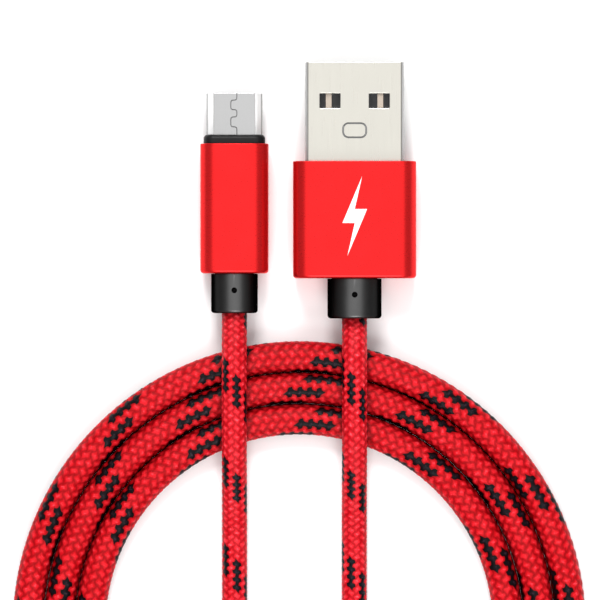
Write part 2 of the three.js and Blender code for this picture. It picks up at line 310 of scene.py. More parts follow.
def gold_plate():
    nodes = Nodes("gold_plate")
    nodes.set(Metallic=1.0)
    cloud = nodes.noise(nodes.place(), 900, 3)
    nodes.to("Base Color", nodes.mix(cloud, (0.50, 0.42, 0.35), (0.60, 0.52, 0.44)))
    nodes.to("Roughness", nodes.range(cloud, 0.24, 0.36))
    return nodes.material


def wire_plastic(name, colour):
    nodes = Nodes("wire_" + name)
    cloud = nodes.noise(nodes.place(), 1200, 2)
    nodes.to("Base Color", nodes.mix(cloud, tuple(0.85 * value for value in colour), colour))
    nodes.set(Roughness=0.4)
    return nodes.material


def printed_white():
    nodes = Nodes("printed_white")
    grain = nodes.noise(nodes.place(), 12000, 3)
    nodes.to("Base Color", nodes.mix(grain, (0.80, 0.78, 0.77), (0.90, 0.89, 0.88)))
    nodes.to("Normal", nodes.bump(grain, 3e-6, 0.4))
    nodes.set(Roughness=0.55)
    return nodes.material


def braid_yarn(name, valley, dark, mid, light, painted_glint_colour, roughness, gloss):
    """Glossy multifilament yarn: filaments run along the yarn, whose UV is (across, along). Light and
    shade are painted into its colour: painted shade in the valleys between yarns, over the slack coil and
    in the crevices between turns, and a painted highlight and glints on the crowns.
    """
    nodes = Nodes(name)
    yarn = nodes.add("ShaderNodeUVMap", uv_map="yarn")
    mapping = nodes.add("ShaderNodeMapping")
    mapping.inputs["Scale"].default_value = (7.0, 0.8, 1.0)
    nodes.link(yarn.outputs["UV"], mapping.inputs["Vector"])
    filaments = nodes.noise(mapping.outputs["Vector"], 1.6, 3, 0.55)
    blotch = nodes.noise(nodes.place(), 900, 2)
    base = nodes.mix(nodes.range(blotch, 0, 1, 0.35, 0.65), mid, light)
    strands = nodes.mix(nodes.range(filaments, 0, 1, 0.3, 0.55), dark, base)
    crown_height = nodes.add("ShaderNodeAttribute", attribute_name="crown")
    raised = nodes.range(crown_height.outputs["Fac"], 0, 1, 0.1, 0.8)
    # painted highlight: the tops of the crowns are coloured toward the light colour, the same lighter tone
    # that also varies the yarn at random
    crest_highlight = nodes.range(crown_height.outputs["Fac"], 0, 0.7, 0.82, 0.96)
    slack = nodes.add("ShaderNodeAttribute", attribute_name="slack").outputs["Fac"]
    # painted shade: the valleys between yarns get a darker colour than the crowns, darker still in the
    # coil
    painted_valley_shade = nodes.mix(slack, valley, tuple(0.8 * value for value in valley))
    colour = nodes.mix(raised, painted_valley_shade, nodes.mix(crest_highlight, strands, light))
    # painted glints: noisy specks on the crowns coloured toward a bright colour
    painted_glint = nodes.times(crest_highlight, nodes.range(nodes.noise(nodes.place(), 3200, 2), 0, 1, 0.5, 0.66))
    colour = nodes.mix(painted_glint, colour, painted_glint_colour)
    # painted shade: where the braid is slack, in the coil, the yarn is coloured darker than on the leads
    colour = nodes.multiply(colour, nodes.mix(slack, (1, 1, 1), (0.86, 0.5, 0.55)))
    # painted shade: the colour is darkened in the crevices between turns and under the leads
    painted_crevice_shade = nodes.range(nodes.occlusion_shade_mask(1.6 * MM), 0, 1, 0.25, 0.9)
    nodes.to("Base Color", nodes.multiply(colour, nodes.mix(painted_crevice_shade, (0.2, 0.05, 0.08), (1, 1, 1))))
    nodes.to("Normal", nodes.bump(filaments, 3.5e-5, 0.8))
    nodes.set(Roughness=roughness, Specular_IOR_Level=gloss)
    return nodes.material


def floor_white():
    nodes = Nodes("floor_white")
    nodes.set(Roughness=0.9, Specular_IOR_Level=0.1)
    cloud = nodes.noise(nodes.place(), 30, 2)
    nodes.to("Base Color", nodes.mix(cloud, (0.92, 0.92, 0.92), (0.94, 0.94, 0.94)))
    return nodes.material


# ---- mesh helpers ---------------------------------------------------------------


def add_object(name, verts, faces, material):
    """Mesh object, shaded smooth with sharp edges."""
    mesh = bpy.data.meshes.new(name)
    mesh.from_pydata([tuple(v) for v in verts], [], [tuple(f) for f in faces])
    mesh.update()
    if material is not None:
        mesh.materials.append(material)
    obj = bpy.data.objects.new(name, mesh)
    bpy.context.collection.objects.link(obj)
    soften(obj)
    return obj


def soften(obj, angle=40):
    """Shades smooth up to an angle in degrees, and sharp past it."""
    obj.data.shade_smooth()
    obj.data.set_sharp_from_angle(angle=radians(angle))


def face_out(obj):
    """Turns all faces outward."""
    work = bmesh.new()
    work.from_mesh(obj.data)
    bmesh.ops.recalc_face_normals(work, faces=work.faces)
    work.to_mesh(obj.data)
    work.free()


def loft(name, loops, material, closed=False, caps=False):
    """Skin over loops of equal count. closed joins the last loop to the first, caps fill both."""
    count = len(loops[0])
    verts = [point for loop in loops for point in loop]
    faces = []
    rounds = len(loops) if closed else len(loops) - 1
    for i in range(rounds):
        a = i * count
        b = (i + 1) % len(loops) * count
        for k in range(count):
            n = (k + 1) % count
            faces.append((a + k, a + n, b + n, b + k))
    if caps:
        start = (len(loops) - 1) * count
        faces.append(tuple(range(count))[::-1])
        faces.append(tuple(range(start, start + count)))
    obj = add_object(name, verts, faces, material)
    face_out(obj)
    soften(obj)
    return obj


def rounded_section(width, height, radius, arc=7, flat=6):
    """(x, z) points of a rounded rectangle, the same count for every size."""
    radius = max(radius, 1e-5)
    points = []
    corners = [(1, 1, 0), (-1, 1, 90), (-1, -1, 180), (1, -1, 270)]
    for index, (sx, sz, start) in enumerate(corners):
        cx = sx * (width / 2 - radius)
        cz = sz * (height / 2 - radius)
        for i in range(arc + 1):
            angle = radians(start + 90 * i / arc)
            points.append((cx + radius * cos(angle), cz + radius * sin(angle)))
        last = points[-1]
        nsx, nsz, nstart = corners[(index + 1) % 4]
        ncx = nsx * (width / 2 - radius) + radius * cos(radians(nstart))
        ncz = nsz * (height / 2 - radius) + radius * sin(radians(nstart))
        for i in range(1, flat):
            t = i / flat
            points.append((last[0] + (ncx - last[0]) * t, last[1] + (ncz - last[1]) * t))
    return points


def circle_section(radius, like):
    """(x, z) points on a circle, in the directions of another section's points."""
    points = []
    for x, z in like:
        size = sqrt(x * x + z * z)
        points.append((radius * x / size, radius * z / size))
    return points


def at(section, centre, y):
    """Section points placed at y on a plug whose axis passes through centre."""
    return [(centre[0] + x, y, centre[1] + z) for x, z in section]


def arc_steps(steps):
    """(1 - cos, 1 - sin) pairs round a quarter turn, for edge fillets."""
    return [(1 - cos(radians(90 * i / steps)), 1 - sin(radians(90 * i / steps)))
            for i in range(steps + 1)]


def circle(radius, segments):
    angles = [2 * pi * i / segments for i in range(segments)]
    return [(radius * cos(angle), radius * sin(angle)) for angle in angles]


def turned(name, profile, centre, material, segments):
    """Closed body of revolution about a plug's axis, from (radius, y) points."""
    loops = [at(circle(radius, segments), centre, y) for radius, y in profile]
    return loft(name, loops, material, closed=True)


def cut_away(obj, *cutters):
    """Boolean difference, applied."""
    for cutter in cutters:
        modifier = obj.modifiers.new("cut", "BOOLEAN")
        modifier.operation = "DIFFERENCE"
        modifier.solver = "EXACT"
        if cutter.data.materials:
            modifier.material_mode = "TRANSFER"
        modifier.object = cutter
    apply_modifiers(obj)
    for cutter in cutters:
        bpy.data.objects.remove(cutter)


def apply_modifiers(obj):
    graph = bpy.context.evaluated_depsgraph_get()
    graph.update()
    mesh = bpy.data.meshes.new_from_object(obj.evaluated_get(graph))
    obj.modifiers.clear()
    obj.data = mesh


def weigh_normals(obj):
    modifier = obj.modifiers.new("normals", "WEIGHTED_NORMAL")
    modifier.keep_sharp = True


def rope(name, points, radius, depth, closed, material):
    """Thin tube of half width radius and half height depth along level points, to cut a groove."""
    count = len(points)
    loops = []
    for i, (x, y, z) in enumerate(points):
        before = points[i - 1] if closed or i > 0 else points[i]
        after = points[(i + 1) % count] if closed or i < count - 1 else points[i]
        dx, dy = after[0] - before[0], after[1] - before[1]
        size = sqrt(dx * dx + dy * dy)
        nx, ny = -dy / size, dx / size
        loops.append([(x + radius * c * nx, y + radius * c * ny, z + depth * s) for c, s in circle(1, 10)])
    return loft(name, loops, material, closed=closed, caps=not closed)


# ---- cord -----------------------------------------------------------------------

LEAD_R = 1.55  # mm, the braid drawn tight over the leads
COIL_R = 1.9  # mm, and slacker in the coil
COIL_CENTRE = (-1.1, -53.45)
COIL_TURNS = (25.55, 29.37, 33.19)

# The leads' centre lines, in millimetres, as the frame has them.
A_ROUTE = [
    (5.65, -8.2, 3.8), (5.65, -12, 3.8), (5.65, -15.6, 3.85), (5.65, -17.4, 4.25),
    (5.65, -19.2, 4.95), (5.65, -21, 5.35), (5.65, -22.8, 5.42), (5.65, -25, 5.42),
    (5.65, -27, 5.42), (5.65, -29.5, 5.37), (5.65, -32.5, 4.5), (5.65, -36, 2.95),
    (5.65, -39.5, 1.85), (5.65, -43, 1.6), (5.65, -48, 1.6), (5.65, -53, 1.62),
    (5.65, -58, 1.68), (4.9, -64, 1.76), (2.2, -69.4, 1.83), (-1.8, -73, 1.88),
    (-6.8, -74.6, 1.9), (-12.2, -74.4, 1.9), (-17.2, -72.4, 1.9),
]
M_ROUTE = [
    (-9, -7.6, 3.4), (-9, -11.5, 3.4), (-9, -15, 3.48), (-9, -17, 3.95), (-9, -19.2, 4.9),
    (-9, -21, 5.33), (-9, -22.8, 5.42), (-9, -25, 5.42), (-9, -27, 5.42), (-9, -30, 5.32),
    (-9, -33, 4.45), (-9, -36.5, 2.85), (-9, -40, 1.8), (-9, -43.5, 1.6), (-9, -48, 1.62),
    (-9, -52.5, 1.85), (-9, -57.5, 2.9), (-8, -64.5, 4.9), (-5.2, -70.2, 5.62),
    (-0.6, -74.8, 5.65), (5.4, -77.8, 5.65), (11.5, -78.6, 5.65), (17.5, -77.5, 5.4),
    (22.6, -74.6, 4.3), (26.4, -70.9, 2.6),
]
A_JOIN = 217.0  # degrees round the coil where the USB-A lead has joined the inner turn
M_JOIN = 337.4  # degrees where the micro-B lead leaves the outer turn
COIL_STEP = 10  # degrees between the coil's points, about
STEP_OUT = (250, 105)  # degrees into each turn where it starts to step out, and how long it takes
WOBBLE = 0.03  # mm, how unevenly the turns lie


def smooth_step(t):
    """0 to 1 with a level start and end."""
    t = np.clip(t, 0, 1)
    return t * t * (3 - 2 * t)


def coil_points():
    """Clockwise turns, stepping out to the next turn in the part of the coil away from the plugs."""
    points = []
    total = 360 * 2 + (A_JOIN - M_JOIN) % 360
    count = int(total // COIL_STEP)
    for i in range(count + 1):
        turned_by = total * i / count
        radius = COIL_TURNS[0]
        for n, (inner, outer) in enumerate(zip(COIL_TURNS, COIL_TURNS[1:])):
            radius += (outer - inner) * smooth_step((turned_by - 360 * n - STEP_OUT[0]) / STEP_OUT[1])
        radius += WOBBLE * sin(radians(turned_by * 0.37 + 40)) * sin(radians(turned_by * 1.9))
        angle = radians(A_JOIN - turned_by)
        points.append((
            COIL_CENTRE[0] + radius * cos(angle), COIL_CENTRE[1] + radius * sin(angle), COIL_R))
    return points


SPACING = 0.2  # mm between the points of the cord's line
SMOOTHED_OVER = 15  # points


def curve_through(points):
    """Evenly spaced points on a centripetal Catmull-Rom curve, smoothed."""
    p = np.array(points, float)
    p = np.vstack([2 * p[0] - p[1], p, 2 * p[-1] - p[-2]])
    dense = []
    for i in range(1, len(p) - 2):
        p0, p1, p2, p3 = p[i - 1:i + 3]
        t0 = 0.0
        t1 = t0 + sqrt(np.linalg.norm(p1 - p0))
        t2 = t1 + sqrt(np.linalg.norm(p2 - p1))
        t3 = t2 + sqrt(np.linalg.norm(p3 - p2))
        t = np.linspace(t1, t2, 24, endpoint=False)[:, None]
        a1 = (t1 - t) / (t1 - t0) * p0 + (t - t0) / (t1 - t0) * p1
        a2 = (t2 - t) / (t2 - t1) * p1 + (t - t1) / (t2 - t1) * p2
        a3 = (t3 - t) / (t3 - t2) * p2 + (t - t2) / (t3 - t2) * p3
        b1 = (t2 - t) / (t2 - t0) * a1 + (t - t0) / (t2 - t0) * a2
        b2 = (t3 - t) / (t3 - t1) * a2 + (t - t1) / (t3 - t1) * a3
        dense.append((t2 - t) / (t2 - t1) * b1 + (t - t1) / (t2 - t1) * b2)
    dense = np.vstack([*dense, p[-2][None]])
    length = np.concatenate([[0], np.cumsum(np.linalg.norm(np.diff(dense, axis=0), axis=1))])
    count = int(length[-1] / SPACING)
    even = np.linspace(0, length[-1], count + 1)
    line = np.column_stack([np.interp(even, length, dense[:, k]) for k in range(3)])
    kernel = np.hanning(SMOOTHED_OVER + 2)[1:-1]
    kernel /= kernel.sum()
    half = len(kernel) // 2
    padded = np.vstack([
        line[0] + (line[0] - line[1]) * np.arange(half, 0, -1)[:, None], line,
        line[-1] + (line[-1] - line[-2]) * np.arange(1, half + 1)[:, None]])
    return np.column_stack([np.convolve(padded[:, k], kernel, "valid") for k in range(3)])


def carried_frames(line):
    """Tangent, up and side vectors carried along a line without twisting."""
    tangents = np.gradient(line, axis=0)
    tangents /= np.linalg.norm(tangents, axis=1)[:, None]
    up = np.array([0.0, 0.0, 1.0])
    ups = []
    for tangent in tangents:
        up = up - tangent * (up @ tangent)
        up /= np.linalg.norm(up)
        ups.append(up)
    ups = np.array(ups)
    return tangents, ups, np.cross(ups, tangents)


LEADS_TO = -41.0  # y where the leads' pieces end and the coil's begins, mm
YARNS = 12  # yarns wound each way
BLACK_YARNS = (0, 1, 2, 3)
LEAD_LAY, COIL_LAY = 11.6, 14.3  # length of one full turn of a yarn along the cord, mm
FINE = 3  # mesh cells across one yarn
BORDER = 0.3  # height of the line where two yarns meet, between valley 0 and crown 1
LEAD_RELIEF, COIL_RELIEF = 0.12, 0.17  # depth of the valleys between yarns, mm
NOMINAL = 0.85  # height between valley and crown at which the braid has its radius
BULGE = 0.27  # how far a float's side spreads over the diving end beside it, in cells
TURNED = (0.39, 0.08)  # how far round the cord the yarns stand in the two leads, in turns
TURNS_OVER = (170, 55)  # and where that changes, mm before the micro-B end
SLACKENS = (50, 75)  # the braid grows slack over this stretch of each lead, mm from its end
FAMILY_SHIFT, FLOAT_SHIFT = 40, 0.37  # give every float a number of its own
UV_SHIFT = (1.7, 2.3)  # and with it a patch of its own in the filaments' texture


def crown(across, along):
    """Height of a float, 0 to 1: round across, and diving under its neighbours at both ends."""
    round_top = np.sqrt(np.clip(1 - (2 * across - 1) ** 2, 0, 1))
    lift = np.clip(np.sin(pi * along), 0, 1) ** 0.35
    return round_top ** 0.8 * lift


def yarn_over(u, v):
    """For braid cells (u, v): whether the first family's yarn is on top, and the float's start."""
    phase = (u + v) % 4
    first = phase < 2
    start = np.where(first, u - phase, v - (phase - 2))
    return first, start


def slack_at(run, length):
    """0 on the leads, 1 in the coil, at a distance along the whole cord."""
    return smooth_step((np.minimum(run, length - run) - SLACKENS[0]) / (SLACKENS[1] - SLACKENS[0]))


def row_places(length):
    """Distance along the cord of each mesh row. Rows lie wider apart where the lay is longer."""
    places = [0.0]
    while places[-1] < length:
        lay = LEAD_LAY + (COIL_LAY - LEAD_LAY) * slack_at(places[-1], length)
        places.append(places[-1] + float(lay) / (2 * YARNS * FINE))
    return np.array(places[:-1])


def float_heights(u, v):
    """Height of the braid's surface over its lattice, 0 in the valleys and 1 on the crowns."""
    on_u = np.abs(u - np.round(u)) < 1e-6
    on_v = np.abs(v - np.round(v)) < 1e-6
    cell_u, cell_v = np.floor(u + 1e-6), np.floor(v + 1e-6)
    first, start = yarn_over(cell_u, cell_v)
    across = np.where(first, v - cell_v, u - cell_u)
    along = np.where(first, u - start, v - start) / 2
    height = np.where(on_u | on_v, BORDER, crown(across, along))
    # On the line between the two cells of one float the yarn stays up.
    before_u, start_u = yarn_over(cell_u - 1, cell_v)
    middle = on_u & ~on_v & before_u & (start_u == cell_u - 1)
    height = np.where(middle, crown(v - cell_v, 0.5), height)
    before_v, start_v = yarn_over(cell_u, cell_v - 1)
    middle = on_v & ~on_u & ~before_v & (start_v == cell_v - 1)
    return np.where(middle, crown(u - cell_u, 0.5), height)


def bulged(u, v):
    """Lattice points moved so that a float's sides spread over the diving ends beside them."""
    cell_u, cell_v = np.floor(u + 1e-6), np.floor(v + 1e-6)
    part_u, part_v = u - cell_u, v - cell_v

    def side_shift(before, after, ends_first):
        """Shift of a cell border towards the float that ends there."""
        ending_before = np.where(ends_first, before & ~after, ~before & after)
        ending_after = np.where(ends_first, ~before & after, before & ~after)
        return BULGE * (ending_after.astype(float) - ending_before)

    here = yarn_over(cell_u, cell_v)[0]
    low_u = side_shift(yarn_over(cell_u - 1, cell_v)[0], here, True)
    high_u = side_shift(here, yarn_over(cell_u + 1, cell_v)[0], True)
    low_v = side_shift(yarn_over(cell_u, cell_v - 1)[0], here, False)
    high_v = side_shift(here, yarn_over(cell_u, cell_v + 1)[0], False)
    new_u = u + (low_u * (1 - part_u) + high_u * part_u) * np.sin(pi * part_v)
    new_v = v + (low_v * (1 - part_v) + high_v * part_v) * np.sin(pi * part_u)
    return new_u, new_v


def braided_tube(name, line, places, rows, materials):
    """Tube whose mesh follows the yarns. rows is the stretch of the line, counted in mesh rows."""
    spacing = float(np.mean(np.linalg.norm(np.diff(line, axis=0), axis=1)))
    length = spacing * (len(line) - 1)
    tangents, ups, sides = carried_frames(line)
    around = 2 * YARNS * FINE
    half = around // 2
    q = np.arange(rows[0], rows[1] + 1)
    p = 2 * np.arange(half)[None, :] + (q % 2)[:, None]
    q = np.broadcast_to(q[:, None], p.shape)
    u, v = (p + q) / 2 / FINE, (p - q) / 2 / FINE
    height = float_heights(u, v)
    wide_u, wide_v = bulged(u, v)
    inner = (q > rows[0]) & (q < rows[1])
    p_moved = np.where(inner, (wide_u + wide_v) * FINE, p)
    q_moved = np.where(inner, (wide_u - wide_v) * FINE, q)
    run = np.interp(q_moved, np.arange(len(places)), places)
    slack = slack_at(run, length)
    relief = LEAD_RELIEF + (COIL_RELIEF - LEAD_RELIEF) * slack
    radius = LEAD_R + (COIL_R - LEAD_R) * slack + relief * (height - NOMINAL)
    place = run / spacing
    low = np.clip(np.floor(place).astype(int), 0, len(line) - 2)
    t = (place - low)[..., None]

    def between(values):
        return values[low] * (1 - t) + values[low + 1] * t

    turned = np.interp(run, [length - before for before in TURNS_OVER], TURNED)
    turn = (2 * pi * (p_moved / around + turned))[..., None]
    out = between(ups) * np.cos(turn) + between(sides) * np.sin(turn)
    verts = (between(line) + out * radius[..., None]).reshape(-1, 3) * MM
    return weave_faces(name, verts, height, slack, rows, half, materials)


def weave_faces(name, verts, height, slack, rows, half, materials):
    """Diamond faces between rows, with the yarns' UV, height and colour."""
    around = 2 * half
    q = np.arange(rows[0], rows[1] - 1)[:, None]
    k = np.arange(half)[None, :]
    p = 2 * k + (q % 2)  # lowest corner of the diamond, at row q

    def index(pp, qq):
        pp = pp % around
        return (qq - rows[0]) * half + (pp - (qq % 2)) // 2

    corners = [(p, q), (p + 1, q + 1), (p, q + 2), (p - 1, q + 1)]
    faces = np.stack([index(pp, qq + 0 * pp) for pp, qq in corners], axis=-1).reshape(-1, 4)
    cell_u = np.floor((p + q + 1) / 2 / FINE)
    cell_v = np.floor((p - q - 1) / 2 / FINE)
    first, start = yarn_over(cell_u, cell_v)
    black = first & np.isin(cell_v % YARNS, BLACK_YARNS)
    uv = []
    for pp, qq in corners:
        u = (pp + qq) / 2 / FINE
        v = (pp - qq) / 2 / FINE
        across = np.where(first, v - cell_v, u - cell_u)
        along = np.where(first, u - start, v - start)
        number = np.where(first, cell_v, cell_u + FAMILY_SHIFT) + FLOAT_SHIFT * start
        uv.append(np.stack([across + UV_SHIFT[0] * number, along + UV_SHIFT[1] * number], axis=-1))
    uv = np.stack(uv, axis=-2).reshape(-1, 2)
    mesh = bpy.data.meshes.new(name)
    mesh.from_pydata(verts.tolist(), [], faces.tolist())
    for material in materials:
        mesh.materials.append(material)
    mesh.polygons.foreach_set("material_index", black.reshape(-1).astype(np.int32))
    layer = mesh.uv_layers.new(name="yarn")
    layer.data.foreach_set("uv", uv.astype(np.float32).reshape(-1))
    for label, values in (("crown", height), ("slack", slack)):
        layer = mesh.attributes.new(label, "FLOAT", "POINT")
        layer.data.foreach_set("value", values.astype(np.float32).reshape(-1))
    mesh.update()
    mesh.shade_smooth()
    obj = bpy.data.objects.new(name, mesh)
    bpy.context.collection.objects.link(obj)
    return obj


def make_cord(yarn_red, yarn_black):
    """The whole cord in three pieces: both leads and the rest."""
    line = curve_through(A_ROUTE + coil_points() + M_ROUTE[::-1])
    spacing = float(np.mean(np.linalg.norm(np.diff(line, axis=0), axis=1)))
    places = row_places(spacing * (len(line) - 1))
    rows_y = np.interp(places / spacing, np.arange(len(line)), line[:, 1])
    # Cuts fall on even rows, so every piece starts with the same half of the lattice.
    cut_a = int(np.argmax(rows_y < LEADS_TO)) // 2 * 2
    cut_m = (len(places) - int(np.argmax(rows_y[::-1] < LEADS_TO))) // 2 * 2
    splits = [0, cut_a, cut_m, (len(places) - 1) // 2 * 2]
    names = ("usb_a_lead_braid", "coil_braid", "micro_b_lead_braid")
    pieces = []
    for name, start, stop in zip(names, splits, splits[1:]):
        piece = braided_tube(name, line, places, (start, stop + 1), (yarn_red, yarn_black))
        path = line[int(places[start] / spacing):int(places[stop] / spacing) + 1:4] * MM
        pieces.append((piece, path))
    return pieces


def place_cord(pieces):
    (lead_a, path_a), (coil, path_c), (lead_m, path_m) = pieces
    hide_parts("usb_a_flex_lead")
    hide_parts("cord_coil", "usb_a_lead", "micro_b_lead")
    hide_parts("micro_b_flex_lead")
    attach(coil, "coiled_cord")
    for lead, x, body in ((lead_a, 5.65, "usb_a_plug"), (lead_m, -9.0, "micro_b_plug")):
        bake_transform(lead)


# ---- plugs ------------------------------------------------------------------------

WALL_REAR = 0.9 * MM
BORE_R = 1.63 * MM
GAP = 0.05 * MM


class Plug:
    """Places of one plug's pieces, from the frame, with the sizes that no box gives."""

    def __init__(self, name, wall, neck, flange):
        self.name = name
        self.body = name + "_plug"
        low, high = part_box(name + "_housing")
        self.centre = ((low[0] + high[0]) / 2, (low[2] + high[2]) / 2)
        self.width, self.height = high[0] - low[0], high[2] - low[2]
        self.rear, self.front = low[1], high[1]
        self.corner = 2 * MM
        self.inner_corner = 1.4 * MM
        self.wall = wall
        self.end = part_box(name + "_strain_relief")[0][1]
        self.collar = extent(name + "_strain_relief")[0] / 2
        self.neck = neck
        self.flange = flange
        self.shell_size = extent(name + "_shell")
        self.shell_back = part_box(name + "_shell")[0][1]
        self.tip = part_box(name + "_shell")[1][1]


def put(piece, plug, slot, *nodes):
    """Fixes a finished piece to its plug in the place of CAD nodes."""
    weigh_normals(piece)
    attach(piece, plug.body)
    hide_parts(*nodes)


def rounded_corner(before, corner, after, cut, steps):
    """Points of a quadratic curve that leaves one side cut before the corner and joins the next."""
    corner = Vector(corner)
    start = corner + (Vector(before) - corner).normalized() * cut
    stop = corner + (Vector(after) - corner).normalized() * cut
    points = []
    for k in range(steps + 1):
        t = k / steps
        point = start * (1 - t) ** 2 + corner * 2 * t * (1 - t) + stop * t ** 2
        points.append((point.x, point.y))
    return points


def filleted(corners, cuts):
    """Closed outline with each corner rounded by its own cut."""
    points = []
    for i, (corner, cut) in enumerate(zip(corners, cuts)):
        points += rounded_corner(corners[i - 1], corner, corners[(i + 1) % len(corners)], cut, 6)
    return points


def flat_at(outline, centre, z):
    """(x, y) outline placed at a height."""
    return [(centre[0] + x, centre[1] + y, z) for x, y in outline]


def housing(plug, material):
    """Anodised sleeve: rounded rear edge, broken front edge, and a hole for the collar's neck."""
    fillet, broken, hole = 0.42 * MM, 0.12 * MM, plug.neck + GAP

    def outer(inset, y):
        return at(rounded_section(plug.width - 2 * inset, plug.height - 2 * inset,
                                  plug.corner - inset), plug.centre, y)

    def inner(grow, y):
        return at(rounded_section(plug.width - 2 * (plug.wall[0] - grow),
                                  plug.height - 2 * (plug.wall[1] - grow),
                                  plug.inner_corner + grow), plug.centre, y)

    around = rounded_section(plug.width, plug.height, plug.corner)
    loops = [at(circle_section(hole, around), plug.centre, plug.rear + WALL_REAR),
             at(circle_section(hole, around), plug.centre, plug.rear + broken),
             at(circle_section(hole + broken, around), plug.centre, plug.rear)]
    for side, drop in reversed(arc_steps(6)):
        loops.append(outer(fillet * side, plug.rear + fillet * drop))
    for side, drop in arc_steps(3):
        loops.append(outer(broken * side, plug.front - broken * drop))
    for side, drop in reversed(arc_steps(3)):
        loops.append(inner(broken * side, plug.front - broken * drop))
    loops.append(inner(0, plug.rear + WALL_REAR))
    sleeve = loft(plug.name + "_sleeve", loops, material, closed=True)
    put(sleeve, plug, "red_anodised", plug.name + "_housing")


def gate_cutter(plug, y, material):
    """Cuts a round dimple with a small nub left in the middle, and leaves its painted-shade material
    inside.
    """
    top = plug.centre[1] + plug.collar
    rims = [(0.42, 0.3), (0.36, 0.0), (0.33, -0.06), (0.33, -0.36), (0.15, -0.38),
            (0.13, -0.16), (0.05, -0.12)]  # radius and height over the collar, mm
    loops = [flat_at(circle(radius * MM, 32), (plug.centre[0], y), top + height * MM)
             for radius, height in rims]
    return loft("gate", loops, material, caps=True)


def strain_relief(plug, material, gate_y, gate_shade_material):
    """Moulded collar behind the housing, with its neck and the flange inside."""
    fillet, lead_in = 0.4 * MM, 0.12 * MM
    inside = plug.rear + WALL_REAR + GAP
    profile = [(BORE_R + lead_in, plug.end)]
    profile += [(plug.collar - fillet * side, plug.end + fillet * drop)
                for side, drop in reversed(arc_steps(6))]
    profile += [(plug.collar - 0.08 * MM * side, plug.rear - GAP - 0.08 * MM * drop)
                for side, drop in arc_steps(2)]
    profile += [(plug.neck, plug.rear - GAP), (plug.neck, inside), (plug.flange, inside),
                (plug.flange, inside + WALL_REAR), (BORE_R, inside + WALL_REAR),
                (BORE_R, plug.end + lead_in)]
    collar = turned(plug.name + "_collar", profile, plug.centre, material, segments=96)
    cut_away(collar, gate_cutter(plug, gate_y, gate_shade_material))
    soften(collar)
    put(collar, plug, "black_rubber", plug.name + "_strain_relief")


# ---- USB-A plug ----

A_WINDOW = (2.5 * MM, 1.8 * MM)
A_WINDOW_PLACE = (3.0 * MM, 10.9 * MM)
A_OVAL = (2.8 * MM, 1.72 * MM, 0.66 * MM)
A_OVAL_Y = 7.3 * MM
A_SEAM = [(0, 16), (0, 10.2), (-0.9, 10.5), (-0.9, 8.1), (0, 8.4), (0, 0)]  # mm


def window_cutter(plug, side, face):
    """Cuts one window of the shell, with a broken edge outside."""
    surface = plug.centre[1] + face * plug.shell_size[2] / 2
    centre = (plug.centre[0] + side * A_WINDOW_PLACE[0], A_WINDOW_PLACE[1])
    loops = []
    for depth, grow in ((0.8, 0), (0.1, 0), (0.03, 0.03), (0, 0.1), (-0.1, 0.2)):
        outline = rounded_section(
            A_WINDOW[0] + 2 * grow * MM, A_WINDOW[1] + 2 * grow * MM, (0.1 + grow) * MM, 5, 1)
        loops.append(flat_at(outline, centre, surface - face * depth * MM))
    return loft("window", loops, None, caps=True)


def paint_light_by_lean(shell, low, high, material):
    """Give the faces whose normals lean sideways by low to high a material of their own, which paints the
    light that these leaning faces reflect.
    """
    shell.data.materials.append(material)
    slot = len(shell.data.materials) - 1
    for face in shell.data.polygons:
        if face.material_index == 0 and low < abs(face.normal.x) < high:
            face.material_index = slot


def usb_a_shell(plug, material, painted_fold, groove):
    """Folded steel shell with two windows in each wide face, a pressed oval and a seam below."""
    wall, lip = 0.3 * MM, 0.07 * MM

    def section(inset, corner, y):
        return at(rounded_section(plug.shell_size[0] - 2 * inset, plug.shell_size[2] - 2 * inset,
                                  corner, 6, 2), plug.centre, y)

    loops = [section(0, 0.5 * MM, plug.shell_back)]
    loops += [section(lip * side, 0.5 * MM - lip * side, plug.tip - lip * drop)
              for side, drop in arc_steps(3)]
    loops += [section(wall - lip * side, 0.2 * MM + lip * side, plug.tip - lip * drop)
              for side, drop in reversed(arc_steps(3))]
    loops.append(section(wall, 0.2 * MM, plug.shell_back))
    shell = loft("usb_a_shell_sheet", loops, material, closed=True)
    cutters = [window_cutter(plug, side, face) for side in (-1, 1) for face in (-1, 1)]
    half = plug.shell_size[2] / 2
    oval = flat_at(rounded_section(*A_OVAL, 10, 2), (plug.centre[0], A_OVAL_Y), plug.centre[1] + half)
    cutters.append(rope("oval", oval, 0.11 * MM, 0.2 * MM, True, groove))
    seam = seam_line(A_SEAM, 0.25, (plug.centre[0], 0), plug.centre[1] - half)
    cutters.append(rope("seam", seam, 0.05 * MM, 0.15 * MM, False, groove))
    cut_away(shell, *cutters)
    # painted reflection: the shell's bends get the grey matt fold material
    paint_light_by_lean(shell, 0.5, 0.985, painted_fold)
    soften(shell, 35)
    put(shell, plug, "shell_steel", "usb_a_shell")


def seam_line(corners, cut, centre, z):
    """Line through corners in millimetres, with each inner corner rounded."""
    points = [corners[0]]
    for before, corner, after in zip(corners, corners[1:], corners[2:]):
        points += rounded_corner(before, corner, after, cut, 5)
    points.append(corners[-1])
    return flat_at([(x * MM, y * MM) for x, y in points], centre, z)


# ---- micro-B plug ----

M_WALL = 0.25 * MM
M_NARROW = 5.4 * MM
M_KNEE = -0.05 * MM
M_SEAM_X = (0.30, -0.44)  # the seam's line and how far its lobes reach, mm
M_SEAM_LOBES = ((11.01, 9.88), (8.95, 7.78))
M_SEAM_ENDS = (13, 5)
M_SLOT = (0.7 * MM, 1.35 * MM)
M_SLOT_PLACE = (2.7 * MM, 10.28 * MM)


